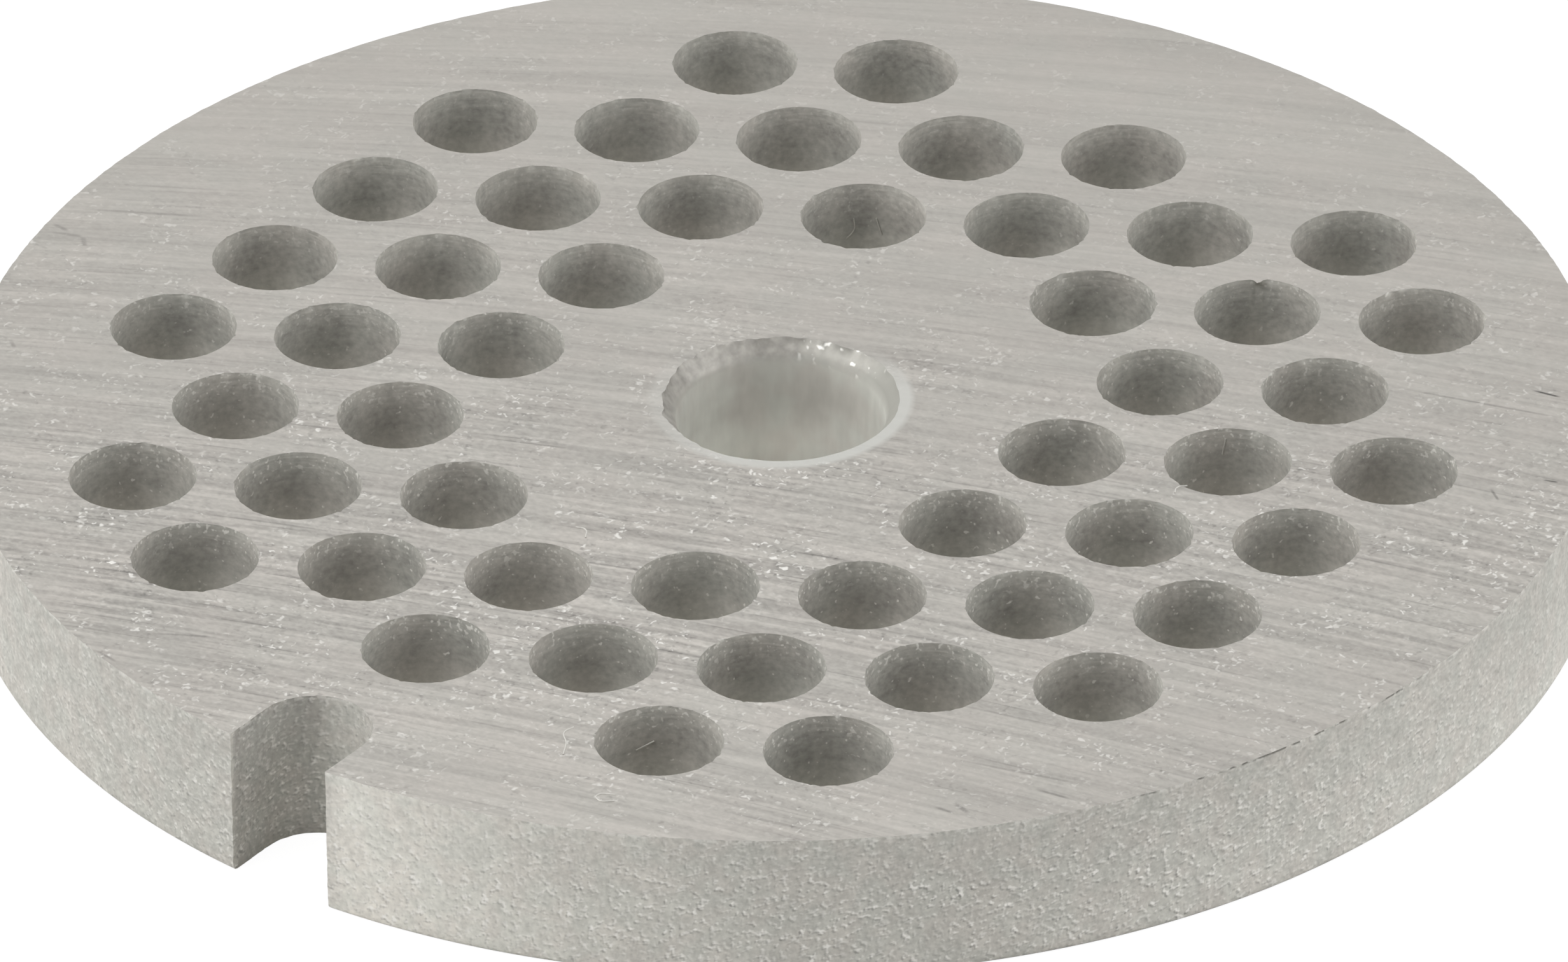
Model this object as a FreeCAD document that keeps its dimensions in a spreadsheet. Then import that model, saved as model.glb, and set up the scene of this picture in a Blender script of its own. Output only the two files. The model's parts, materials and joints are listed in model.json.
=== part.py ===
import FreeCAD, Part
import math
import os
import Sketcher
from FreeCAD import Vector

# A meat grinder plate: one ground steel disc with a centre bore for the screw's pin, a field of
# round cutting holes on a triangular lattice, and a notch in the rim that keys it in the barrel.
# Frame: origin at the centre of the bottom face, +Z up through the plate, the notch on -Y.
# All lengths are millimetres.

SIZES = (
    ("plate_diameter", 82.5, "rim of the disc"),
    ("plate_thickness", 8.0, "between the two ground faces"),
    ("rim_round", 0.3, "radius of the lower edge of the rim"),
    ("bore_diameter", 10.4, "wall of the centre bore"),
    ("bore_chamfer", 0.8, "45 degree chamfer at both ends of the bore"),
    ("hole_diameter", 6.35, "cutting hole, a quarter of an inch"),
    ("hole_pitch", 8.35, "between the centres of neighbouring holes"),
    ("bore_land", 4.5, "least width of plain face between the bore's chamfer and a hole"),
    ("rim_land", 4.5, "least width of plain face between a hole and the rim"),
    ("notch_width", 5.9, "between the parallel walls of the notch"),
    ("notch_depth", 5.9, "from the rim to the bottom of the notch's round end"),
)

# A cut may remove this share more or less than its own volume, because of the rim's rounding
CUT_TOLERANCE = 0.01

# Sketcher's numbers for the points of an edge, and for the sketch's own origin and axes
START, END, CENTRE = 1, 2, 3
ORIGIN = (-1, START)
X_AXIS, Y_AXIS = -1, -2


def make_sheet(doc):
    """Puts every driving dimension in a spreadsheet cell under its own alias."""
    sheet = doc.addObject("Spreadsheet::Sheet", "Sizes")
    for row, (name, value, meaning) in enumerate(SIZES, start=1):
        sheet.set(f"A{row}", name)
        sheet.set(f"B{row}", str(value))
        sheet.set(f"C{row}", meaning)
        sheet.setAlias(f"B{row}", name)
    doc.recompute()
    return sheet


def add_sketch(body, name):
    """Adds an empty sketch on the plane of the bottom face."""
    ground = next(item for item in body.Origin.OriginFeatures if item.Role == "XY_Plane")
    sketch = body.newObject("Sketcher::SketchObject", name)
    sketch.AttachmentSupport = [(ground, "")]
    sketch.MapMode = "FlatFace"
    return sketch


def bind(sketch, name, kind, references, value, expression):
    """Adds a named dimension to a sketch and ties it to the spreadsheet."""
    index = sketch.addConstraint(Sketcher.Constraint(kind, *references, value))
    sketch.renameConstraint(index, name)
    sketch.setExpression(f"Constraints.{name}", expression)


def central_circle(body, sketch_name, diameter_name, sheet):
    """A sketch of one circle round the plate's axis."""
    diameter = getattr(sheet, diameter_name)
    sketch = add_sketch(body, sketch_name)
    circle = sketch.addGeometry(Part.Circle(Vector(0, 0, 0), Vector(0, 0, 1), diameter / 2))
    sketch.addConstraint(Sketcher.Constraint("Coincident", circle, CENTRE, *ORIGIN))
    bind(sketch, diameter_name, "Diameter", (circle,), diameter, f"Sizes.{diameter_name}")
    return sketch


def round_edges(shape, radius):
    """Names the full circles of that radius round the plate's axis, lowest first."""
    found = []
    for number, edge in enumerate(shape.Edges, start=1):
        if not isinstance(edge.Curve, Part.Circle) or not edge.isClosed():
            continue
        centre = edge.Curve.Center
        on_axis = math.hypot(centre.x, centre.y) < Part.Precision.confusion()
        if on_axis and math.isclose(edge.Curve.Radius, radius, abs_tol=Part.Precision.confusion()):
            found.append((centre.z, f"Edge{number}"))
    return [name for height, name in sorted(found)]


def cut_through(doc, body, name, sketch, volume):
    """Pockets a sketch upwards through the whole plate, and makes sure that it removed that volume."""
    before = body.Shape.Volume
    pocket = body.newObject("PartDesign::Pocket", name)
    pocket.Profile = sketch
    pocket.Type = "ThroughAll"
    pocket.Reversed = True
    doc.recompute()
    removed = before - pocket.Shape.Volume
    if not math.isclose(removed, volume, rel_tol=CUT_TOLERANCE):
        raise RuntimeError(f"{name} removed {removed:.2f} mm3 and not {volume:.2f} mm3")
    return pocket


def pad_disc(doc, body, sheet):
    """The blank: a plain disc with the lower edge of its rim rounded."""
    pad = body.newObject("PartDesign::Pad", "Disc")
    pad.Profile = central_circle(body, "DiscSketch", "plate_diameter", sheet)
    pad.setExpression("Length", "Sizes.plate_thickness")
    doc.recompute()

    lower_edge = round_edges(pad.Shape, sheet.plate_diameter / 2)[:1]
    rim = body.newObject("PartDesign::Fillet", "RimRound")
    rim.Base = (pad, lower_edge)
    rim.setExpression("Radius", "Sizes.rim_round")
    doc.recompute()


def cut_bore(doc, body, sheet):
    """The centre bore, chamfered at both ends because the plate works either way up."""
    sketch = central_circle(body, "BoreSketch", "bore_diameter", sheet)
    radius = sheet.bore_diameter / 2
    volume = math.pi * radius**2 * sheet.plate_thickness
    pocket = cut_through(doc, body, "Bore", sketch, volume)

    chamfer = body.newObject("PartDesign::Chamfer", "BoreChamfer")
    chamfer.Base = (pocket, round_edges(pocket.Shape, radius))
    chamfer.setExpression("Size", "Sizes.bore_chamfer")
    doc.recompute()


def notch_end(sheet):
    """Distance from the plate's axis to the centre of the notch's round end."""
    return sheet.plate_diameter / 2 - sheet.notch_depth + sheet.notch_width / 2


def cut_notch(doc, body, sheet):
    """The keying notch: parallel walls and a half round end, open through the rim on -Y."""
    rim = sheet.plate_diameter / 2
    half = sheet.notch_width / 2
    end = notch_end(sheet)
    outside = rim + sheet.notch_width

    sketch = add_sketch(body, "NotchSketch")
    round_end = Part.Circle(Vector(0, -end, 0), Vector(0, 0, 1), half)
    arc = sketch.addGeometry(Part.ArcOfCircle(round_end, 0, math.pi))
    corners = [Vector(x, -y, 0) for x, y in ((-half, end), (-half, outside), (half, outside), (half, end))]
    left, mouth, right = (
        sketch.addGeometry(Part.LineSegment(one, other)) for one, other in zip(corners, corners[1:])
    )
    sketch.addConstraint([
        Sketcher.Constraint("Tangent", arc, END, left, START),
        Sketcher.Constraint("Tangent", right, END, arc, START),
        Sketcher.Constraint("Coincident", left, END, mouth, START),
        Sketcher.Constraint("Coincident", mouth, END, right, START),
        Sketcher.Constraint("Horizontal", mouth),
        Sketcher.Constraint("Vertical", left),
        Sketcher.Constraint("Vertical", right),
        Sketcher.Constraint("PointOnObject", arc, CENTRE, Y_AXIS),
    ])
    bind(sketch, "round_end", "Radius", (arc,), half, "Sizes.notch_width / 2")
    bind(
        sketch, "to_round_end", "DistanceY", (arc, CENTRE, *ORIGIN), end,
        "Sizes.plate_diameter / 2 - Sizes.notch_depth + Sizes.notch_width / 2",
    )
    bind(
        sketch, "to_mouth", "DistanceY", (mouth, START, *ORIGIN), outside,
        "Sizes.plate_diameter / 2 + Sizes.notch_width",
    )

    # The walls meet the rim at a chord, and a sliver of the disc lies outside that chord
    chord = math.sqrt(rim**2 - half**2)
    sliver = rim**2 * math.asin(half / rim) - half * chord
    area = sheet.notch_width * (chord - end) + math.pi * half**2 / 2 + sliver
    cut_through(doc, body, "Notch", sketch, area * sheet.plate_thickness)


def hole_sites(sheet):
    """Places of the cutting holes on the lattice, as whole steps sideways and along the notch.

    A step sideways is the distance between two columns of holes, and a step along is half a
    pitch. The columns run parallel to the notch, and the plate's centre lies midway between two
    places of the middle column. A place stays solid where a hole would come nearer to the bore
    or the rim than their land, or nearer to the notch than the web between two holes.
    """
    radius = sheet.hole_diameter / 2
    rim = sheet.plate_diameter / 2
    least = sheet.bore_diameter / 2 + sheet.bore_chamfer + sheet.bore_land + radius
    most = rim - sheet.rim_land - radius
    web = sheet.hole_pitch - sheet.hole_diameter
    clear_of_notch = sheet.notch_width / 2 + web + radius

    steps = range(-math.ceil(2 * most / sheet.hole_pitch), math.ceil(2 * most / sheet.hole_pitch) + 1)
    sites = []
    for sideways in steps:
        for along in steps:
            if (sideways + along) % 2 == 0:
                continue
            x, y = site_position(sheet, sideways, along)
            inside_field = least <= math.hypot(x, y) <= most
            if inside_field and math.hypot(x, max(0, notch_end(sheet) + y)) >= clear_of_notch:
                sites.append((sideways, along))
    return sites


def site_position(sheet, sideways, along):
    """Centre of the hole at a place of the lattice."""
    return sideways * sheet.hole_pitch * math.sqrt(3) / 2, along * sheet.hole_pitch / 2


def place_hole(sketch, sheet, sideways, along):
    """Adds the circle of one cutting hole and ties its centre to the pitch."""
    x, y = site_position(sheet, sideways, along)
    circle = sketch.addGeometry(Part.Circle(Vector(x, y, 0), Vector(0, 0, 1), sheet.hole_diameter / 2))
    directions = (
        ("DistanceX", "x", sideways, x, f"Sizes.hole_pitch * {sideways} * sqrt(3) / 2", Y_AXIS),
        ("DistanceY", "y", along, y, f"Sizes.hole_pitch * {along} / 2", X_AXIS),
    )
    for kind, letter, steps, value, expression, axis in directions:
        if steps == 0:
            sketch.addConstraint(Sketcher.Constraint("PointOnObject", circle, CENTRE, axis))
        else:
            name = f"hole_{circle + 1}_{letter}"
            bind(sketch, name, kind, (*ORIGIN, circle, CENTRE), value, expression)
    return circle


def drill_holes(doc, body, sheet):
    """The cutting holes, all of one diameter, drilled in one go."""
    sites = hole_sites(sheet)
    sketch = add_sketch(body, "HoleSketch")
    first, *others = [place_hole(sketch, sheet, sideways, along) for sideways, along in sites]
    bind(sketch, "hole_diameter", "Diameter", (first,), sheet.hole_diameter, "Sizes.hole_diameter")
    for circle in others:
        sketch.addConstraint(Sketcher.Constraint("Equal", first, circle))
    volume = len(sites) * math.pi * (sheet.hole_diameter / 2)**2 * sheet.plate_thickness
    cut_through(doc, body, "CuttingHoles", sketch, volume)
    print(f"{len(sites)} cutting holes")


def check_document(doc, body):
    """Stops before anything is written if an object failed or the solid is not sound."""
    for item in doc.Objects:
        if "Invalid" in item.State or "Error" in item.State:
            raise RuntimeError(f"{item.Label} failed: {item.State}")
        if item.isDerivedFrom("Sketcher::SketchObject") and not item.FullyConstrained:
            raise RuntimeError(f"{item.Label} is not fully constrained")
    shape = body.Shape
    if shape.isNull() or not shape.isValid() or len(shape.Solids) != 1:
        raise RuntimeError(f"{body.Label} is not one valid solid")


def main():
    doc = FreeCAD.newDocument("MeatGrinderPlate")
    sheet = make_sheet(doc)
    plate = doc.addObject("PartDesign::Body", "Plate")
    plate.Label = "grinder_plate"
    pad_disc(doc, plate, sheet)
    cut_bore(doc, plate, sheet)
    cut_notch(doc, plate, sheet)
    drill_holes(doc, plate, sheet)
    check_document(doc, plate)

    os.makedirs("parts", exist_ok=True)
    plate.Shape.exportStep(f"parts/{plate.Label}.step")
    print(f"{plate.Label}: {plate.Shape.Volume:.1f} mm3, {plate.Shape.optimalBoundingBox()}")


main()
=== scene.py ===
import json
import math

import bpy
from mathutils import Matrix, Vector, noise


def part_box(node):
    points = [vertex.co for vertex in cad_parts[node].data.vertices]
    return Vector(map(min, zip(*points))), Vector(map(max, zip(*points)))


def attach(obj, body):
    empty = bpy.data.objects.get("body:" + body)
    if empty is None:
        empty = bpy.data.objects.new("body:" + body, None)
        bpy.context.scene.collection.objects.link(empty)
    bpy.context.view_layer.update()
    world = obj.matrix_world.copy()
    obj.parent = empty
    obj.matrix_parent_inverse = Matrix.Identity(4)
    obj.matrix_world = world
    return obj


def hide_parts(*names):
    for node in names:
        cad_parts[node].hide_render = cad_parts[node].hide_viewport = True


# A meat grinder plate of tool steel, photographed from the front and above on a white ground.
# Shapes are modelled in millimetres and scaled to metres when they are finished.
MM = 0.001

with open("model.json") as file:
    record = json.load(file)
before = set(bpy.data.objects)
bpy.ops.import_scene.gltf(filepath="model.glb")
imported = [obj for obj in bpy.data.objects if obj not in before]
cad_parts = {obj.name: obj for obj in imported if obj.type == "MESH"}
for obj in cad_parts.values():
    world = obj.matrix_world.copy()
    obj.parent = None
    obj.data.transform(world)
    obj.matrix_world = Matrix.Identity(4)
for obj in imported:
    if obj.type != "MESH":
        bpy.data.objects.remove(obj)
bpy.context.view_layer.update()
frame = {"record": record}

# Sizes of the plate, from the frame and from the drawing
mounts = {mount["name"]: mount["dims"] for mount in frame["record"]["mounts"]}
plate_low, plate_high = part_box("grinder_plate")
THICKNESS = (plate_high.z - plate_low.z) / MM
PLATE_RADIUS = mounts["rim"]["r_mm"]
BORE_RADIUS = mounts["bore"]["r_mm"]
BORE_CHAMFER = 0.8
BURNISHED_RADIUS = 6.72
HOLE_RADIUS = 6.35 / 2
HOLE_PITCH = 8.35
LAND = 4.5
NOTCH_WIDTH = 5.9
NOTCH_DEPTH = 5.9
RIM_ROUND = 0.3

# The camera, fitted to the outline and the holes of the photograph. Its azimuth is measured from
# the notch, and its roll is the small turn of the picture about the line of sight.
PICTURE_WIDTH = 36.0
FOCAL_LENGTH = 543.07
CAMERA_DISTANCE = 1181.6
CAMERA_AZIMUTH = math.radians(37.1)
CAMERA_ELEVATION = math.radians(31.73)
CAMERA_ROLL = math.radians(-0.515)
AIM_RIGHT, AIM_BACK = 0.14, -7.88
NEAR_CLIP, FAR_CLIP = 0.05, 10

# The bore's upper edge is torn on this side, behind and left of the middle of the photograph
TORN_SIDE = CAMERA_AZIMUTH + math.radians(125)

# One hole has a burr left on its edge, at this angle
BURRED_HOLE = (2, 5)
BURR_ANGLE = math.radians(125)

# Strands of swarf: in a hole, as angles and depths down its wall, and on the face, as places
STRANDS_IN_HOLES = [
    ((-1, 4), [(136, 2.0), (136, 2.7), (144, 3.2)]),
    ((-1, 4), [(115, 2.0), (110, 2.9)]),
    ((3, 2), [(128, 0.6), (131, 1.5)]),
    ((2, -7), [(149, 2.4), (132, 2.0)]),
]
STRANDS_ON_FACE = [
    [(15.7, -34.4), (15.0, -35.0), (15.4, -35.3), (16.0, -34.9)],
    [(10.3, -30.7), (10.2, -31.3), (10.9, -32.1), (11.4, -33.0)],
    [(-0.9, -15.8), (-0.4, -15.7), (0.1, -16.3)],
    [(21.4, 5.3), (21.1, 4.9), (21.3, 4.4)],
]
STRAND_RADIUS = 0.04

# Scratches in the face: from one place to another, how wide to each side, and how dark
SCRATCHES = [
    ((30.0, 22.9), (31.6, 23.2), 0.1, 0.75),
    ((35.4, 16.2), (36.2, 16.5), 0.09, 0.5),
    ((33.8, 14.0), (34.8, 13.3), 0.1, 0.4),
    ((24.1, 19.0), (33.1, 21.7), 0.11, 0.26),
    ((-40.2, -8.2), (-39.0, -8.3), 0.16, 0.24),
    ((-39.7, -8.9), (-38.1, -8.3), 0.16, 0.24),
    ((-38.1, -8.3), (-37.4, -9.0), 0.18, 0.22),
    ((-34.9, -18.3), (-34.1, -18.9), 0.15, 0.22),
    ((-39.8, -6.2), (-34.3, -3.1), 0.15, 0.2),
    ((29.4, -25.2), (30.7, -25.6), 0.18, 0.3),
    ((28.9, -26.1), (30.0, -26.0), 0.13, 0.3),
    ((31.9, -21.9), (33.9, -21.6), 0.12, 0.35),
    ((26.6, -22.2), (33.5, -20.2), 0.12, 0.22),
    ((-13.0, -39.0), (-11.6, -39.2), 0.12, 0.32),
    ((-11.7, -36.0), (-9.0, -34.5), 0.12, 0.24),
]

# Cutters reach this far past both faces, and the floor lies this far below the plate
PAST = 1.0
FLOOR_GAP = 0.02

# Points round the rim, a cutting hole, the bore and the notch, and rings of edges round the rim
RIM_POINTS, HOLE_POINTS, BORE_POINTS, NOTCH_POINTS = 900, 120, 240, 96
RIM_RINGS = 25

# A cutter has a ring of points this far outside each face
BESIDE_FACE = 0.02

# A hole's wall wanders this far. Its upper edge is broken and nibbled this far outwards and down
# to this depth, and its burr stands this far inwards and spreads over this angle.
HOLE_WANDER = 0.015
EDGE_BREAK, NIBBLE, NIBBLE_DEPTH = 0.02, 0.2, 0.3
BURR, BURR_SPREAD = 0.4, 0.06

# The bore's chamfer turns into the wall over this height. Its edge is bitten this far outwards,
# and its wall wanders this far.
BORE_BLEND, BORE_BITE, BORE_WANDER = 0.35, 0.2, 0.02

# Rings of points in the notch, this far apart upwards and outwards
NOTCH_RISE, NOTCH_STEP = 0.32, 0.3

# Grit blasting left the rim and the notch this uneven
RIM_GRAIN, NOTCH_GRAIN = 0.035, 0.04

# How far past the notch, the rim and the bore's chamfer a face still belongs to them
NOTCH_MARGIN, RIM_MARGIN, BORE_MARGIN = 0.2, 0.5, 0.3

# Edges that bend less than this are shaded smooth
SMOOTH_ANGLE = math.radians(30)

# The softboxes: azimuth in the picture (0 right, 90 behind), elevation, distance, size and watts
SOFTBOXES = {
    "key": (-158, 50, 0.8, 0.5, 4.8),
    "left_back": (165, 42, 0.8, 0.4, 1.4),
    "fill": (-10, 30, 0.8, 0.6, 3.4),
    "behind": (90, 35, 1.0, 1.2, 2.6),
}

# The floor is a sheet this large, in metres. The camera sees it this white, and beside the plate
# it glows this much, unseen by the camera, fully out to the first distance from the axis and not
# at all past the second.
FLOOR_SIZE = 6.0
PAPER_WASH, PAPER_WHITE = 0.85, 1.12
GLOW, GLOW_FULL, GLOW_END = 0.48, 43.5, 47

# The grinding lines run this way through the centre. To their right they bend down and open out.
LINE_DIRECTION = math.radians(21.6)
LINE_BEND = 0.00165
LINE_SPREAD = 0.0034


def select_only(obj):
    """Makes one object the only selected and the active one."""
    bpy.ops.object.select_all(action="DESELECT")
    obj.select_set(True)
    bpy.context.view_layer.objects.active = obj


def pick(obj, kind, test):
    """Goes into edit mode with only the vertices, edges or faces selected that pass the test."""
    if obj.mode == "EDIT":
        bpy.ops.object.mode_set(mode="OBJECT")
    select_only(obj)
    bpy.ops.object.mode_set(mode="EDIT")
    bpy.ops.mesh.select_mode(type=kind)
    bpy.ops.mesh.select_all(action="DESELECT")
    bpy.ops.object.mode_set(mode="OBJECT")
    mesh = obj.data
    items = {"VERT": mesh.vertices, "EDGE": mesh.edges, "FACE": mesh.polygons}[kind]
    for item in items:
        item.select = test(item)
    bpy.ops.object.mode_set(mode="EDIT")


def joined(objects):
    """Joins several objects into the first one."""
    bpy.ops.object.select_all(action="DESELECT")
    for obj in objects:
        obj.select_set(True)
    bpy.context.view_layer.objects.active = objects[0]
    bpy.ops.object.join()
    return bpy.context.object


def ends(obj, edge):
    """The two end points of an edge."""
    return [obj.data.vertices[index].co for index in edge.vertices]


def round_bar(name, vertices, radius, low, high, x=0.0, y=0.0):
    """A closed bar round the vertical through (x, y), from one height to another."""
    bpy.ops.object.select_all(action="DESELECT")
    bpy.ops.mesh.primitive_cylinder_add(
        vertices=vertices, radius=radius, depth=high - low, end_fill_type="NGON",
        location=(x, y, (low + high) / 2),
    )
    bar = bpy.context.object
    bar.name = name
    bpy.ops.object.transform_apply(location=True, rotation=True, scale=True)
    return bar


def slice_at(obj, heights, normal=(0, 0, 1)):
    """Cuts rings of edges into a shape, one at each distance along the normal."""
    pick(obj, "FACE", lambda face: True)
    for height in heights:
        bpy.ops.mesh.select_all(action="SELECT")
        bpy.ops.mesh.bisect(plane_co=Vector(normal) * height, plane_no=normal)
    bpy.ops.object.mode_set(mode="OBJECT")


def ripple(angle, height, seed, per_turn, per_mm=0.0):
    """Smooth noise from -1 to 1 round a wall, the same at 0 and 360 degrees."""
    reach = per_turn / (2 * math.pi)
    around = (math.cos(angle) * reach, math.sin(angle) * reach)
    return noise.noise(Vector((*around, height * per_mm + seed * 7.3)))


def lattice(sideways, along):
    """A place on the triangular lattice of the holes, counted in columns and in half pitches."""
    return sideways * HOLE_PITCH * math.sqrt(3) / 2, along * HOLE_PITCH / 2


def hole_sites():
    """Centres of the cutting holes: columns along the notch, the plate's centre midway in one."""
    least = BORE_RADIUS + BORE_CHAMFER + LAND + HOLE_RADIUS
    most = PLATE_RADIUS - LAND - HOLE_RADIUS
    steps = range(-math.ceil(2 * most / HOLE_PITCH), math.ceil(2 * most / HOLE_PITCH) + 1)
    sites = []
    for sideways in steps:
        for along in steps:
            x, y = lattice(sideways, along)
            if (sideways + along) % 2 and least <= math.hypot(x, y) <= most:
                sites.append((x, y))
    return sites


def blank_disc():
    """The disc before drilling, its rim divided finely enough to carry the blasted grain."""
    disc = round_bar("plate", RIM_POINTS, PLATE_RADIUS, 0, THICKNESS)

    def lower_edge(edge):
        return all(end.z < 0.01 for end in ends(disc, edge))

    pick(disc, "EDGE", lower_edge)
    bpy.ops.mesh.bevel(offset=RIM_ROUND, segments=3, affect="EDGES")

    def upright(edge):
        low, high = sorted(end.z for end in ends(disc, edge))
        return high - low > THICKNESS / 2

    pick(disc, "EDGE", upright)
    bpy.ops.mesh.subdivide(number_cuts=RIM_RINGS)
    bpy.ops.object.mode_set(mode="OBJECT")
    return disc


def hole_cutter(x, y, seed, template, burred):
    """A drill's worth of solid for one cutting hole, its upper edge nibbled by the drill."""
    cutter = template.copy()
    cutter.data = template.data.copy()
    bpy.context.collection.objects.link(cutter)
    for vertex in cutter.data.vertices:
        co = vertex.co
        angle = math.atan2(co.y, co.x)
        radius = math.hypot(co.x, co.y)
        radius += HOLE_WANDER * ripple(angle, 0, seed, 4)
        near_face = min(max(1 - (THICKNESS - co.z) / NIBBLE_DEPTH, 0), 1)
        nibble = max(ripple(angle, co.z, seed + 50, 60, 1.5) - 0.15, 0)
        radius += near_face * (EDGE_BREAK + NIBBLE * nibble)
        if burred:
            radius -= BURR * near_face * math.exp(-((angle - BURR_ANGLE) / BURR_SPREAD)**2)
        vertex.co = (x + radius * math.cos(angle), y + radius * math.sin(angle), co.z)
    return cutter


def bore_cutter():
    """The centre bore and its chamfers. A tool that chattered left scallops in the upper one."""
    cutter = round_bar("bore_cutter", BORE_POINTS, BORE_RADIUS, -PAST, THICKNESS + PAST)

    # Rings of points, closest together where the upper chamfer meets the wall
    upper = THICKNESS - BORE_CHAMFER
    rises = (-BORE_BLEND, -0.15, 0, 0.15, BORE_BLEND, 0.6, BORE_CHAMFER + BESIDE_FACE)
    slice_at(cutter, [upper + rise for rise in rises] + [BORE_CHAMFER, -BESIDE_FACE, 2.5, 5.0])
    for vertex in cutter.data.vertices:
        co = vertex.co
        angle = math.atan2(co.y, co.x)
        up, down = co.z - upper, BORE_CHAMFER - co.z
        rounded = (up + math.hypot(up, BORE_BLEND)) / 2
        radius = BORE_RADIUS + min(max(rounded, down, 0), BORE_CHAMFER)
        torn = max(up / BORE_CHAMFER, 0)**2 * (0.5 + 0.5 * math.cos(angle - TORN_SIDE))**0.7
        bites = ripple(angle, 0, 3, 36) + 0.7 * ripple(angle, co.z, 5, 80, 2)
        radius += BORE_BITE * torn * bites + BORE_WANDER * ripple(angle, co.z, 9, 24, 0.8)
        vertex.co = (radius * math.cos(angle), radius * math.sin(angle), co.z)
    return cutter


def notch_cutter():
    """The keying notch: a round bar whose outer half is drawn out through the rim."""
    half = NOTCH_WIDTH / 2
    end = PLATE_RADIUS - NOTCH_DEPTH + half
    cutter = round_bar("notch_cutter", NOTCH_POINTS, half, -PAST, THICKNESS + PAST, y=-end)
    pick(cutter, "VERT", lambda vertex: vertex.co.y < -end - 0.01)
    bpy.ops.transform.translate(value=(0, -(PLATE_RADIUS - end) - half, 0))
    bpy.ops.object.mode_set(mode="OBJECT")
    slice_at(cutter, [step * NOTCH_RISE - PAST for step in range(1, 32)])
    slice_at(cutter, [end + step * NOTCH_STEP for step in range(12)], normal=(0, -1, 0))
    for vertex in cutter.data.vertices:
        co = vertex.co
        grain = noise.noise(co * 2.2) + 0.6 * noise.noise(co * 5.0)
        outward = Vector((co.x, max(co.y + end, 0), 0)).normalized()
        vertex.co = co + outward * NOTCH_GRAIN * grain
    return cutter


def cut_with(plate, cutters):
    """Joins the cutters into one object and takes it out of the plate."""
    tool = joined(cutters)
    select_only(plate)
    cut = plate.modifiers.new("cut", "BOOLEAN")
    cut.operation = "DIFFERENCE"
    cut.solver = "EXACT"
    cut.object = tool
    bpy.ops.object.modifier_apply(modifier=cut.name)
    bpy.data.objects.remove(tool, do_unlink=True)


def make_plate():
    """The whole plate as one piece."""
    plate = blank_disc()
    for vertex in plate.data.vertices:
        co = vertex.co
        radius = math.hypot(co.x, co.y)
        if radius > PLATE_RADIUS - 0.02:
            grain = noise.noise(co * 2.2) + 0.7 * noise.noise(co * 4.5)
            vertex.co.xy = co.xy * (1 + RIM_GRAIN * grain / radius)

    # Rings of points, closest together under the upper face
    template = round_bar("hole_cutter", HOLE_POINTS, HOLE_RADIUS, -PAST, THICKNESS + PAST)
    near_top = [THICKNESS + BESIDE_FACE, THICKNESS - 0.12, THICKNESS - 0.35]
    slice_at(template, near_top + [6.0, 4.0, 2.0, 0.35, -BESIDE_FACE])
    cutters = []
    for number, (x, y) in enumerate(hole_sites()):
        burred = math.dist((x, y), lattice(*BURRED_HOLE)) < 1
        cutters.append(hole_cutter(x, y, number, template, burred))
    bpy.data.objects.remove(template, do_unlink=True)
    cut_with(plate, cutters + [bore_cutter(), notch_cutter()])
    pick(plate, "FACE", lambda face: len(face.vertices) > 4)
    bpy.ops.mesh.quads_convert_to_tris(ngon_method="BEAUTY")
    bpy.ops.object.mode_set(mode="OBJECT")
    return plate


def strand(points):
    """A thin wire through some points, as a mesh."""
    curve = bpy.data.curves.new("strand", "CURVE")
    curve.dimensions = "3D"
    curve.bevel_depth = STRAND_RADIUS
    curve.bevel_resolution = 2
    curve.use_fill_caps = True
    spline = curve.splines.new("BEZIER")
    spline.bezier_points.add(len(points) - 1)
    for knot, point in zip(spline.bezier_points, points):
        knot.co = point
        knot.handle_left_type = knot.handle_right_type = "AUTO"
    wire = bpy.data.objects.new("strand", curve)
    bpy.context.collection.objects.link(wire)
    select_only(wire)
    bpy.ops.object.convert(target="MESH")
    return bpy.context.object


def make_swarf():
    """The strands of swarf that cling to the hole walls and lie on the face."""
    wires = []
    for site, turns in STRANDS_IN_HOLES:
        x, y = lattice(*site)
        out = HOLE_RADIUS - STRAND_RADIUS / 2
        points = []
        for angle, depth in turns:
            turn = math.radians(angle)
            points.append((x + out * math.cos(turn), y + out * math.sin(turn), THICKNESS - depth))
        wires.append(strand(points))
    for places in STRANDS_ON_FACE:
        wires.append(strand([(x, y, THICKNESS) for x, y in places]))
    return joined(wires)


# The four finishes of the plate. In their materials, places and the sizes of grains are in
# millimetres, and tones are shares of the colour.
GROUND, BLASTED, DRILLED, TURNED = range(4)


def finish_of(face):
    """Which finish a face of the plate has, by its place and direction."""
    x, y, _ = face.center
    radius = math.hypot(x, y)
    if abs(face.normal.z) > 0.98:
        return GROUND
    notch_end = PLATE_RADIUS - NOTCH_DEPTH
    in_notch = abs(x) < NOTCH_WIDTH / 2 + NOTCH_MARGIN and y < -(notch_end - NOTCH_MARGIN)
    if radius > PLATE_RADIUS - RIM_MARGIN or in_notch:
        return BLASTED
    if radius < BORE_RADIUS + BORE_CHAMFER + BORE_MARGIN:
        return TURNED
    return DRILLED


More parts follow.
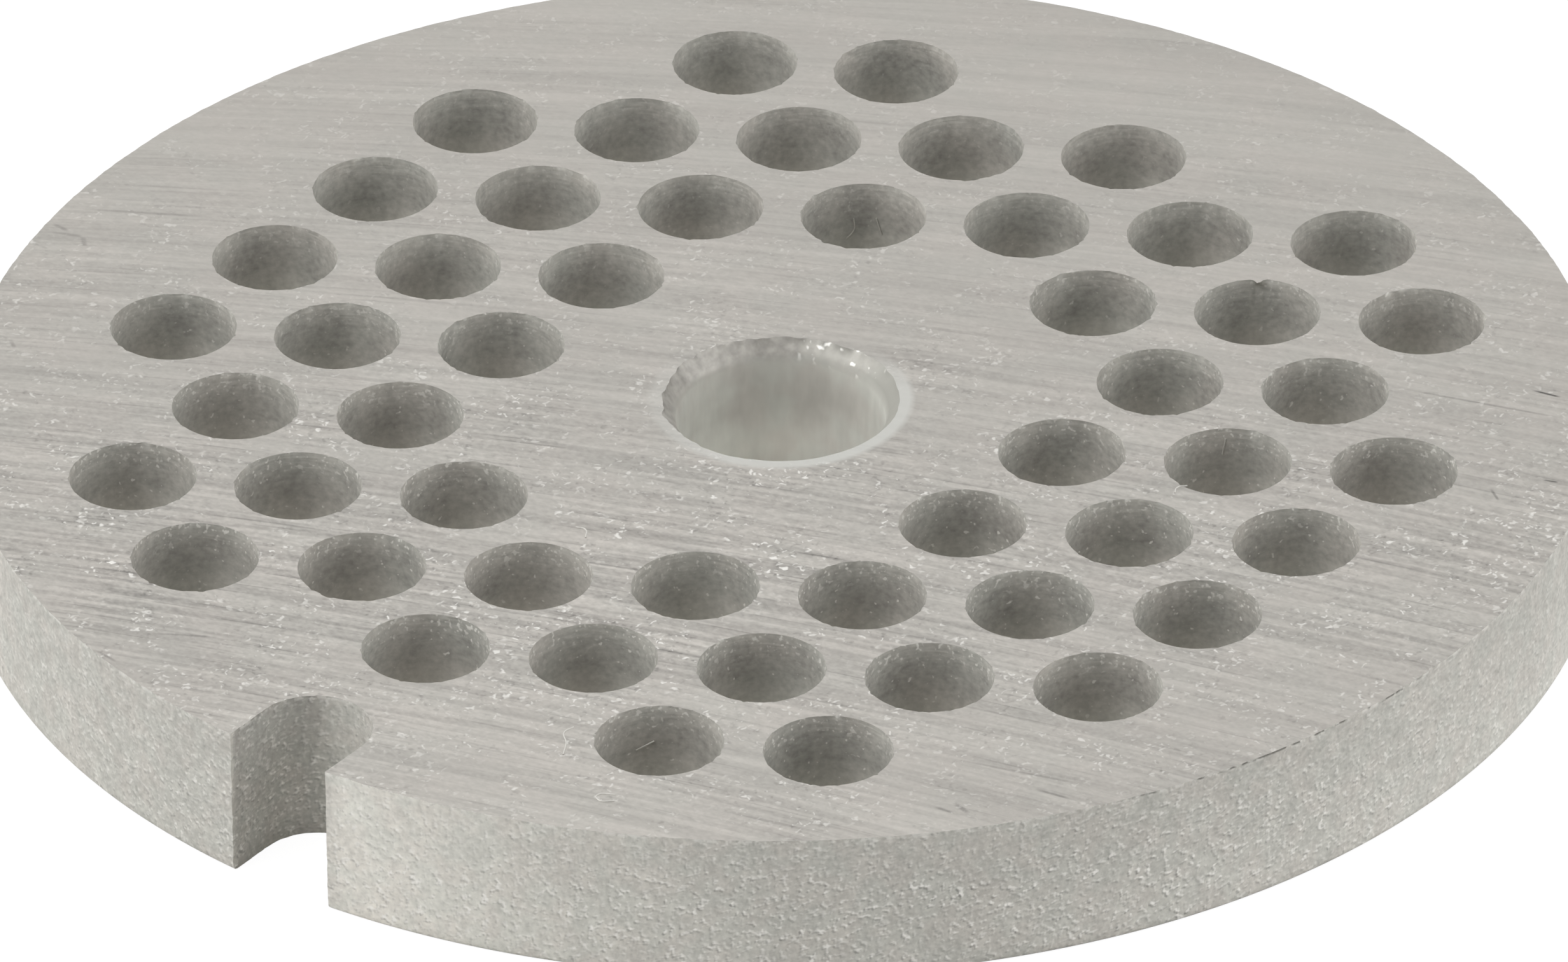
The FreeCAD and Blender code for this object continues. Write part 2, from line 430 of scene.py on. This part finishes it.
def srgb(code):
    """A colour from its hex code, turned to linear."""
    channels = [int(code[start:start + 2], 16) / 255 for start in (1, 3, 5)]
    linear = [c / 12.92 if c <= 0.04045 else ((c + 0.055) / 1.055)**2.4 for c in channels]
    return (*linear, 1)


def add(tree, kind, settings=None, **inputs):
    """Adds a node with its settings, and sets or links its inputs by name or by number."""
    node = tree.nodes.new(kind)
    for name, value in (settings or {}).items():
        setattr(node, name, value)
    for name, value in inputs.items():
        key = int(name[1:]) if name[1:].isdigit() else name.replace("_", " ")
        socket = node.inputs[key]
        if isinstance(value, bpy.types.NodeSocket):
            tree.links.new(value, socket)
        else:
            socket.default_value = value
    return node


def maths(tree, operation, first, second=0.0):
    """One sum on two values."""
    return add(tree, "ShaderNodeMath", {"operation": operation}, _0=first, _1=second).outputs[0]


def product(tree, *values):
    """Several values multiplied together."""
    result = values[0]
    for value in values[1:]:
        result = maths(tree, "MULTIPLY", result, value)
    return result


def remap(tree, value, low, high, to_low=0.0, to_high=1.0):
    """Stretches one range of a value onto another and clamps it at both ends."""
    return add(tree, "ShaderNodeMapRange", Value=value, From_Min=low, From_Max=high,
               To_Min=to_low, To_Max=to_high).outputs[0]


def sized(tree, vector, lengths):
    """Divides a place by three lengths, so that noise drawn on it has grains of those lengths."""
    return add(tree, "ShaderNodeVectorMath", {"operation": "DIVIDE"},
               _0=vector, _1=lengths).outputs[0]


def cloud(tree, vector, size, detail, seed):
    """Noise around one half. Its grains have one size, or a length on each axis, in millimetres."""
    lengths = size if isinstance(size, tuple) else (size, size, size)
    moved = add(tree, "ShaderNodeVectorMath", {"operation": "ADD"},
                _0=sized(tree, vector, lengths), _1=(seed, -seed, seed)).outputs[0]
    return add(tree, "ShaderNodeTexNoise", Vector=moved, Scale=1.0, Detail=detail).outputs[0]


def blend(tree, share, first, second):
    """Mixes two colours."""
    return add(tree, "ShaderNodeMixRGB", _0=share, _1=first, _2=second).outputs[0]


def shaded(tree, colour, amount):
    """A colour made lighter or darker by an amount around one."""
    grey = add(tree, "ShaderNodeCombineColor", Red=amount, Green=amount, Blue=amount).outputs[0]
    return add(tree, "ShaderNodeMixRGB", {"blend_type": "MULTIPLY"},
               _0=1.0, _1=colour, _2=grey).outputs[0]


def place(tree):
    """The place on the plate in millimetres: as a vector and as x, y and z."""
    where = add(tree, "ShaderNodeTexCoord").outputs["Object"]
    vector = sized(tree, where, (MM, MM, MM))
    return vector, *add(tree, "ShaderNodeSeparateXYZ", Vector=vector).outputs


def from_axis(tree, x, y):
    """How far a place lies from the plate's axis, in millimetres."""
    flat = add(tree, "ShaderNodeCombineXYZ", X=x, Y=y).outputs[0]
    return add(tree, "ShaderNodeVectorMath", {"operation": "LENGTH"}, _0=flat).outputs["Value"]


def bearings(tree, x, y):
    """How far a place on the plate lies in front and to the right of the axis, in millimetres.

    Both are counted from the middle of the side that was photographed.
    """
    sine, cosine = math.sin(CAMERA_AZIMUTH), math.cos(CAMERA_AZIMUTH)
    front = maths(tree, "SUBTRACT", product(tree, x, sine), product(tree, y, cosine))
    return front, maths(tree, "ADD", product(tree, x, cosine), product(tree, y, sine))


def steel(name, colour, metallic, roughness):
    """A new material that starts as plain tool steel."""
    material = bpy.data.materials.new(name)
    material.use_nodes = True
    tree = material.node_tree
    tree.nodes.clear()
    shader = add(tree, "ShaderNodeBsdfPrincipled",
                 Base_Color=srgb(colour), Metallic=metallic, Roughness=roughness)
    add(tree, "ShaderNodeOutputMaterial", Surface=shader.outputs["BSDF"])
    return material, tree, shader


def connect(tree, shader, **inputs):
    """Links values to inputs of a material's shader."""
    for name, value in inputs.items():
        tree.links.new(value, shader.inputs[name.replace("_", " ")])


def bumped(tree, height, distance):
    """A normal tilted by a height. The distance is in millimetres."""
    return add(tree, "ShaderNodeBump", Height=height, Distance=distance * MM).outputs[0]


def burrs(tree, vector, flat, cell, size, share, seed, soft=0.05):
    """Flecks: each cell may hold one, bent out of round by a fine cloud. 1 where one sits."""
    bend = add(tree, "ShaderNodeTexNoise", Vector=vector, Scale=2.2, Detail=1.0).outputs["Color"]
    seeded = add(tree, "ShaderNodeVectorMath", {"operation": "ADD"},
                 _0=vector, _1=(seed, seed, 0)).outputs[0]
    bent = add(tree, "ShaderNodeVectorMath", {"operation": "MULTIPLY_ADD"},
               _0=bend, _1=(0.9, 0.9, 0), _2=seeded).outputs[0]
    dimensions = {"voronoi_dimensions": "2D" if flat else "3D"}
    cells = add(tree, "ShaderNodeTexVoronoi", dimensions, Vector=bent, Scale=1 / cell)
    chance = add(tree, "ShaderNodeSeparateColor", Color=cells.outputs["Color"])
    chosen = remap(tree, chance.outputs["Red"], share, share - 0.02)
    reach = remap(tree, chance.outputs["Green"], 0, 1, size * 0.5 / cell, size * 1.4 / cell)
    edge = maths(tree, "SUBTRACT", reach, cells.outputs["Distance"])
    return product(tree, chosen, remap(tree, edge, 0, soft / cell))


def curls(tree, vector, size, width, share, seed):
    """Thin bright curls: short lengths of a fine cloud's contour lines."""
    swing = wave(tree, cloud(tree, vector, size, 1, seed), 1.0)
    contour = maths(tree, "ABSOLUTE", swing)
    broken = cloud(tree, vector, (size * 0.8, size * 0.8, size), 1, seed + 40)
    return product(tree, remap(tree, contour, width, width * 0.3),
                   remap(tree, broken, share, share + 0.06))


def line_field(tree, x, y, z):
    """Coordinates that follow the grinding lines: across them, along them, and z."""
    cosine, sine = math.cos(LINE_DIRECTION), math.sin(LINE_DIRECTION)
    along = maths(tree, "ADD", product(tree, x, cosine), product(tree, y, sine))
    across = maths(tree, "SUBTRACT", product(tree, y, cosine), product(tree, x, sine))
    bent = maths(tree, "ADD", across, product(tree, along, along, LINE_BEND))
    spread = maths(tree, "ADD", product(tree, along, LINE_SPREAD), 1.0)
    across = maths(tree, "DIVIDE", bent, spread)
    return add(tree, "ShaderNodeCombineXYZ", X=across, Y=along, Z=z).outputs[0]


def wave(tree, value, height):
    """A cloud's value as a swing round zero."""
    return product(tree, maths(tree, "SUBTRACT", value, 0.5), height)


def total(tree, *values):
    """Several values added together."""
    result = values[0]
    for value in values[1:]:
        result = maths(tree, "ADD", result, value)
    return result


def scratches(tree, vector):
    """How much the scratches darken a place.

    They go by x and y alone, so the back face, which has the same steel, shows them too.
    """
    marks = []
    for start, end, width, depth in SCRATCHES:
        run = Vector((*end, 0)) - Vector((*start, 0))
        from_start = add(tree, "ShaderNodeVectorMath", {"operation": "SUBTRACT"},
                         _0=vector, _1=(*start, 0)).outputs[0]
        along = add(tree, "ShaderNodeVectorMath", {"operation": "DOT_PRODUCT"},
                    _0=from_start, _1=run.normalized()).outputs["Value"]
        sideways = Vector((-run.y, run.x, 0)).normalized()
        aside = add(tree, "ShaderNodeVectorMath", {"operation": "DOT_PRODUCT"},
                    _0=from_start, _1=sideways).outputs["Value"]
        on_line = remap(tree, maths(tree, "ABSOLUTE", aside), width, width * 0.3)
        tapered = product(tree, remap(tree, along, 0, run.length * 0.3),
                          remap(tree, along, run.length, run.length * 0.8))
        marks.append(product(tree, on_line, tapered, depth))
    return total(tree, *marks)


def ground_steel():
    """Surface ground tool steel: fine grinding lines in long arcs, dusted with bright burrs."""
    material, tree, shader = steel("surface_ground_steel", "#ADAAA4", 0.8, 0.45)
    vector, x, y, z = place(tree)
    lines = line_field(tree, x, y, z)
    front, rightward = bearings(tree, x, y)
    patches = cloud(tree, vector, 7, 2, 3)

    # The lines and flecks are plainest from the middle forwards, and weaker again at the front
    rising = total(tree, remap(tree, front, -34, -4, 0.3, 0.65),
                   remap(tree, front, -4, 14, 0, 0.6), remap(tree, front, 22, 34, 0, -0.45))
    strength = product(tree, rising, remap(tree, rightward, -5, 15, 1.05, 0.85),
                       remap(tree, patches, 0.35, 0.65, 0.75, 1.2))

    long_lines = cloud(tree, lines, (0.55, 11, 1), 1, 5)
    short_lines = cloud(tree, lines, (0.36, 0.8, 1), 1, 11)
    bands = cloud(tree, lines, (2.2, 32, 1), 2, 17)
    scores = remap(tree, cloud(tree, lines, (0.24, 8, 1), 1, 23), 0.62, 0.72)
    grooves = remap(tree, cloud(tree, lines, (0.5, 14, 1), 1, 41), 0.46, 0.54)
    dusty = remap(tree, cloud(tree, vector, 2.2, 2, 31), 0.42, 0.6, 0.1, 1.0)
    flecks = maths(tree, "MAXIMUM", burrs(tree, vector, True, 0.42, 0.12, 0.5, 3, 0.09),
                   product(tree, curls(tree, vector, 0.7, 0.08, 0.64, 47), 0.6))
    flecks = product(tree, flecks, dusty, strength)
    mottle = cloud(tree, vector, (0.3, 0.22, 0.3), 1, 67)
    pits_and_shadows = product(tree, remap(tree, cloud(tree, vector, 0.3, 1, 71), 0.58, 0.76), dusty, strength)

    corner = product(tree, remap(tree, front, 22, 34), remap(tree, rightward, -15, 25, 0.09, 0.0))
    tone = total(tree, 1.0, corner, product(tree, wave(tree, long_lines, 0.36), strength),
                 product(tree, wave(tree, short_lines, 0.3), strength,
                         remap(tree, front, 15, 30, 1, 0.6)),
                 product(tree, wave(tree, mottle, 0.32), strength), product(tree, pits_and_shadows, -0.25),
                 product(tree, wave(tree, grooves, 0.12), strength),
                 wave(tree, bands, 0.32), product(tree, scores, strength, -0.18))
    tone = maths(tree, "SUBTRACT", tone, scratches(tree, vector))
    hue = cloud(tree, vector, 3, 1, 37)
    colour = blend(tree, remap(tree, hue, 0.35, 0.65), srgb("#AEAAA4"), srgb("#ACA9A3"))
    colour = shaded(tree, colour, tone)
    colour = blend(tree, product(tree, flecks, 0.7), colour, srgb("#E4E2DD"))

    # The flat ring that a counterbore burnished round the bore, painted lighter only towards the
    # front and most on the right, as a painted sheen
    ring_and_sheen = remap(tree, from_axis(tree, x, y), BURNISHED_RADIUS + 0.1, BURNISHED_RADIUS - 0.25)
    ring_and_sheen = product(tree, ring_and_sheen, remap(tree, front, -4.5, -1.0),
                   remap(tree, rightward, -6.5, -2.5, 0.3, 1.0))
    colour = blend(tree, product(tree, ring_and_sheen, 0.85), colour, srgb("#C2C2BD"))
    height = total(tree, product(tree, long_lines, 0.3), product(tree, short_lines, 0.3),
                   product(tree, mottle, strength, 0.5), flecks)
    height = product(tree, height, maths(tree, "SUBTRACT", 1.0, ring_and_sheen))
    connect(tree, shader, Base_Color=colour, Normal=bumped(tree, height, 0.014))
    return material


def blasted_steel():
    """Grit blasted tool steel: soft unevenness, peppered with bright peaks that each have a painted
    shadow beside them.
    """
    material, tree, shader = steel("grit_blasted_steel", "#CAC8C3", 0.6, 0.7)
    vector, x, y, z = place(tree)
    grain = cloud(tree, vector, 0.3, 2, 3)
    clumps = cloud(tree, vector, 0.9, 2, 7)
    broad = cloud(tree, vector, 5, 2, 13)
    peppered = product(tree, remap(tree, clumps, 0.4, 0.6, 0.4, 1),
                       remap(tree, z, THICKNESS - 0.3, 4, 0.6, 1),
                       remap(tree, bearings(tree, x, y)[0], 18, 38, 0.65, 1.3))
    # Each peak's painted shadow is the same cloud moved a little aside and darkened
    beside = add(tree, "ShaderNodeVectorMath", {"operation": "ADD"},
                 _0=vector, _1=(0.06, 0.06, 0.1)).outputs[0]
    grit = (0.28, 0.28, 0.24)
    peaks, pits_and_shadows = (
        product(tree, remap(tree, cloud(tree, where, grit, 1, 5), 0.52, 0.74), peppered)
        for where in (vector, beside)
    )

    # Painted highlight beside the notch's right corner, and painted shade on the walls of the notch
    # that face right
    notch_highlight = product(tree, remap(tree, x, 24, 6), remap(tree, x, 2, 4), remap(tree, y, -30, -34))
    inside_rim = remap(tree, from_axis(tree, x, y), PLATE_RADIUS - 0.1, PLATE_RADIUS - 0.4)
    in_notch = product(tree, inside_rim, remap(tree, x, -0.8, -1.9),
                       remap(tree, z, 0, THICKNESS, 0.12, 0.28))
    # The rim is painted lighter towards its bottom, as painted light bounced up from the floor
    tone = total(tree, remap(tree, z, 0, THICKNESS, 1.07, 0.98), product(tree, notch_highlight, 0.3),
                 wave(tree, grain, 0.55), wave(tree, clumps, 0.3), wave(tree, broad, 0.12),
                 product(tree, pits_and_shadows, -0.34))
    tone = product(tree, tone, maths(tree, "SUBTRACT", 1.0, in_notch))
    hue = cloud(tree, vector, 1.6, 1, 37)
    colour = blend(tree, remap(tree, hue, 0.4, 0.6), srgb("#C8C5BF"), srgb("#C6C5BF"))
    colour = shaded(tree, colour, tone)
    # A broken painted highlight along the rim's top edge
    edge_highlight = product(tree, remap(tree, z, THICKNESS - 0.25, THICKNESS - 0.1),
                        remap(tree, cloud(tree, vector, 0.5, 2, 61), 0.5, 0.58))
    bright = maths(tree, "MAXIMUM", product(tree, peaks, 0.75), product(tree, edge_highlight, 0.4))
    colour = blend(tree, bright, colour, srgb("#F4F2EE"))

    # Broken dark line along the top edge on the right of the front
    edge = remap(tree, z, THICKNESS - 0.14, THICKNESS - 0.06)
    stretch = product(tree, remap(tree, y, -21, -18), remap(tree, y, -1, -4),
                      remap(tree, x, 30, 31))
    thick = product(tree, remap(tree, y, -17, -14), remap(tree, y, -8, -11), 0.12)
    unbroken = total(tree, cloud(tree, vector, 0.7, 2, 53), thick)
    line = product(tree, edge, stretch, remap(tree, unbroken, 0.53, 0.6), 0.85)
    colour = blend(tree, line, colour, srgb("#6C6A64"))
    height = total(tree, grain, product(tree, clumps, 0.6), product(tree, peaks, 0.3))
    connect(tree, shader, Base_Color=colour, Normal=bumped(tree, height, 0.025))
    return material


def drilled_steel():
    """Drilled hole walls: fine rings left by the drill's lips, and a few bright burrs."""
    material, tree, shader = steel("drilled_steel", "#A5A29C", 0.3, 0.6)
    vector, x, y, z = place(tree)
    rings = cloud(tree, vector, (1.6, 1.6, 0.16), 1, 3)
    near_face = remap(tree, z, THICKNESS - 1.8, THICKNESS - 0.4)
    mottle = cloud(tree, vector, (0.35, 0.35, 0.3), 2, 9)
    broad = cloud(tree, vector, (2.2, 2.2, 3.0), 2, 15)
    in_front = remap(tree, bearings(tree, x, y)[0], -25, 5, 0.3, 1)
    torn = remap(tree, z, THICKNESS - 1.6, THICKNESS - 0.3)
    fine = cloud(tree, vector, 0.26, 1, 7)
    flecks = product(tree, remap(tree, fine, 0.6, 0.7), torn, in_front)
    specks = product(tree, remap(tree, cloud(tree, vector, 0.3, 1, 21), 0.7, 0.76), in_front)
    contrast = remap(tree, near_face, 0.0, 1.0, 0.08, 0.4)
    # The walls are painted lighter just under the face and again from 2.4 mm down, as painted light
    # that comes in at the mouth and up through the hole
    tone = total(tree, 1.04, remap(tree, z, THICKNESS - 1.2, THICKNESS - 0.2, 0, 0.26),
                 remap(tree, z, THICKNESS - 2.4, THICKNESS - 4.0, 0, 0.6),
                 product(tree, wave(tree, rings, 1.0), contrast), wave(tree, mottle, 0.75),
                 wave(tree, broad, 0.7))
    hue = cloud(tree, vector, 4, 1, 33)
    colour = blend(tree, remap(tree, hue, 0.35, 0.65), srgb("#A7A49E"), srgb("#A5A49E"))
    colour = shaded(tree, colour, tone)
    bright = maths(tree, "MAXIMUM", product(tree, flecks, 0.85), product(tree, specks, 0.75))
    colour = blend(tree, bright, colour, srgb("#E6E4DE"))
    height = total(tree, product(tree, rings, contrast, 2), product(tree, mottle, 0.7))
    connect(tree, shader, Base_Color=colour, Normal=bumped(tree, height, 0.02))
    return material


def turned_steel():
    """The bore, turned bright, and its chamfer, browned and torn except where it faces the key
    light, which is painted lighter and glinting.
    """
    material, tree, shader = steel("turned_steel", "#CFCEC7", 0.3, 0.5)
    vector, x, y, z = place(tree)
    front, rightward = bearings(tree, x, y)
    drag = cloud(tree, vector, (0.6, 0.6, 1.8), 2, 3)
    broad = cloud(tree, vector, 2.0, 2, 15)
    # The bore wall is darker high up and lighter deep down, most on its left; high on its right it
    # is painted lighter, as painted light from the key
    deep = product(tree, remap(tree, z, 4.3, 2.1, 0, 0.4), remap(tree, rightward, 0.5, 3, 1, 0.2))
    bore_tone_and_light = total(tree, remap(tree, z, 6.0, 4.3, 0.82, 0.9), deep,
                     product(tree, remap(tree, rightward, 0, 4.5, 0, 0.12),
                             remap(tree, z, 5.0, 6.8)))
    tone = total(tree, bore_tone_and_light, wave(tree, drag, 0.25), wave(tree, broad, 0.35))
    colour = blend(tree, remap(tree, broad, 0.4, 0.6), srgb("#D1CEC7"), srgb("#CFCFC8"))
    colour = shaded(tree, colour, tone)

    # Where the chamfer faces the key light it is smoother and painted a little lighter, and its
    # glints are painted highlights
    smooth_lit_side = product(tree, remap(tree, rightward, 2.5, 4.0), remap(tree, front, -4.0, -3.0))
    glinting = product(tree, remap(tree, rightward, 0.5, 1.5), remap(tree, front, -2.4, -3.2))
    grain = cloud(tree, vector, 0.5, 2, 23)
    rough = shaded(tree, srgb("#9D9A94"), remap(tree, grain, 0.3, 0.7, 0.8, 1.2))
    smoother = maths(tree, "MAXIMUM", smooth_lit_side, product(tree, glinting, 0.5))
    rough = blend(tree, smoother, rough, srgb("#A1A099"))
    glint_spots = cloud(tree, vector, 0.45, 1, 29)
    glints = product(tree, remap(tree, glint_spots, 0.62, 0.74), glinting)
    rough = blend(tree, glints, rough, srgb("#F0EFEA"))
    chamfer = remap(tree, z, THICKNESS - BORE_CHAMFER - 0.35, THICKNESS - BORE_CHAMFER + 0.15)
    colour = blend(tree, chamfer, colour, rough)
    connect(tree, shader, Base_Color=colour)
    return material


def make_camera():
    """The photograph's view: a long lens a metre away, looking down on the plate."""
    back = Vector((
        math.sin(CAMERA_AZIMUTH) * math.cos(CAMERA_ELEVATION),
        -math.cos(CAMERA_AZIMUTH) * math.cos(CAMERA_ELEVATION),
        math.sin(CAMERA_ELEVATION),
    ))
    aim = Matrix.Rotation(CAMERA_AZIMUTH, 3, "Z") @ Vector((AIM_RIGHT, AIM_BACK, 0))
    aim.z = THICKNESS
    data = bpy.data.cameras.new("camera")
    data.sensor_width = PICTURE_WIDTH
    data.lens = FOCAL_LENGTH
    data.clip_start = NEAR_CLIP
    data.clip_end = FAR_CLIP
    camera = bpy.data.objects.new("camera", data)
    bpy.context.collection.objects.link(camera)
    camera.location = (aim + back * CAMERA_DISTANCE) * MM
    turn = back.to_track_quat("Z", "Y").to_matrix() @ Matrix.Rotation(CAMERA_ROLL, 3, "Z")
    camera.rotation_euler = turn.to_euler()
    bpy.context.scene.camera = camera


def soft_lamp(name, azimuth, elevation, distance, size, power):
    """A square softbox that faces the plate. Its azimuth is the picture's: 0 right, 90 behind."""
    around = math.radians(azimuth) + CAMERA_AZIMUTH
    up = math.radians(elevation)
    toward = Vector((
        math.cos(around) * math.cos(up),
        math.sin(around) * math.cos(up),
        math.sin(up),
    ))
    data = bpy.data.lights.new(name, "AREA")
    data.size = size
    data.energy = power
    lamp = bpy.data.objects.new(name, data)
    bpy.context.collection.objects.link(lamp)
    lamp.location = toward * distance
    lamp.rotation_euler = toward.to_track_quat("Z", "Y").to_euler()
    lamp.visible_camera = False


def make_studio():
    """A white floor under a pale sky that is darker in front, and softboxes all round it."""
    world = bpy.data.worlds.new("studio")
    world.use_nodes = True
    bpy.context.scene.world = world
    tree = world.node_tree
    tree.nodes.clear()
    path = add(tree, "ShaderNodeLightPath")
    seen = add(tree, "ShaderNodeMath", {"operation": "MAXIMUM"},
               _0=path.outputs["Is Camera Ray"], _1=path.outputs["Is Transmission Ray"])
    direction = add(tree, "ShaderNodeTexCoord").outputs["Generated"]
    toward_front = add(tree, "ShaderNodeVectorMath", {"operation": "DOT_PRODUCT"}, _0=direction,
                       _1=(math.sin(CAMERA_AZIMUTH), -math.cos(CAMERA_AZIMUTH), 0)).outputs["Value"]
    dim = remap(tree, toward_front, 0.5, 0.95, 0.5, 0.12)
    sky = add(tree, "ShaderNodeBackground", Color=srgb("#FFFFFF"), Strength=dim)
    white = add(tree, "ShaderNodeBackground", Color=srgb("#FFFFFF"), Strength=1.0)
    mixed = add(tree, "ShaderNodeMixShader",
                _0=seen.outputs[0], _1=sky.outputs[0], _2=white.outputs[0])
    add(tree, "ShaderNodeOutputWorld", Surface=mixed.outputs[0])

    bpy.ops.object.select_all(action="DESELECT")
    bpy.ops.mesh.primitive_plane_add(size=FLOOR_SIZE, location=(0, 0, -FLOOR_GAP * MM))
    floor = bpy.context.object
    floor.name = "floor"
    paper = bpy.data.materials.new("white_paper")
    paper.use_nodes = True
    tree = paper.node_tree
    tree.nodes.clear()
    path = add(tree, "ShaderNodeLightPath")
    matt = add(tree, "ShaderNodeBsdfDiffuse", Color=srgb("#C4C4C2"))
    glow = add(tree, "ShaderNodeEmission", Color=srgb("#FFFFFF"), Strength=PAPER_WHITE)
    washed = add(tree, "ShaderNodeMixShader", _0=PAPER_WASH, _1=matt.outputs[0], _2=glow.outputs[0])

    # Painted glow: the paper glows close beside the plate's right half, unseen by the camera, and
    # lights the rim from below
    _, x, y, _ = place(tree)
    radius = from_axis(tree, x, y)
    beside = product(tree, remap(tree, radius, PLATE_RADIUS, PLATE_RADIUS + 0.3),
                     remap(tree, radius, GLOW_END, GLOW_FULL),
                     remap(tree, bearings(tree, x, y)[1], 5, 38))
    side_glow = add(tree, "ShaderNodeEmission",
                 Color=srgb("#FFFFFF"), Strength=product(tree, beside, GLOW))
    matt_and_glow = add(tree, "ShaderNodeAddShader", _0=matt.outputs[0], _1=side_glow.outputs[0])
    glow_seen = add(tree, "ShaderNodeMixShader", _0=path.outputs["Is Camera Ray"],
                    _1=matt_and_glow.outputs[0], _2=washed.outputs[0])
    add(tree, "ShaderNodeOutputMaterial", Surface=glow_seen.outputs[0])
    floor.data.materials.append(paper)

    for name, settings in SOFTBOXES.items():
        soft_lamp(name, *settings)


def to_metres(obj):
    """Scales a finished shape from millimetres and smooths it."""
    select_only(obj)
    bpy.ops.transform.resize(value=(MM, MM, MM), center_override=(0, 0, 0))
    bpy.ops.object.transform_apply(location=True, rotation=True, scale=True)
    bpy.ops.object.shade_smooth_by_angle(angle=SMOOTH_ANGLE)


plate = make_plate()
for material in (ground_steel(), blasted_steel(), drilled_steel(), turned_steel()):
    plate.data.materials.append(material)
for face in plate.data.polygons:
    face.material_index = finish_of(face)
to_metres(plate)
plate.name = "drilled_plate"
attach(plate, "root")
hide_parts("grinder_plate")

swarf = make_swarf()
swarf.data.materials.append(steel("bright_swarf", "#C6C4BE", 0.5, 0.5)[0])
to_metres(swarf)
swarf.name = "swarf"
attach(swarf, "root")

make_camera()
make_studio()
bpy.context.scene.view_settings.view_transform = "Standard"
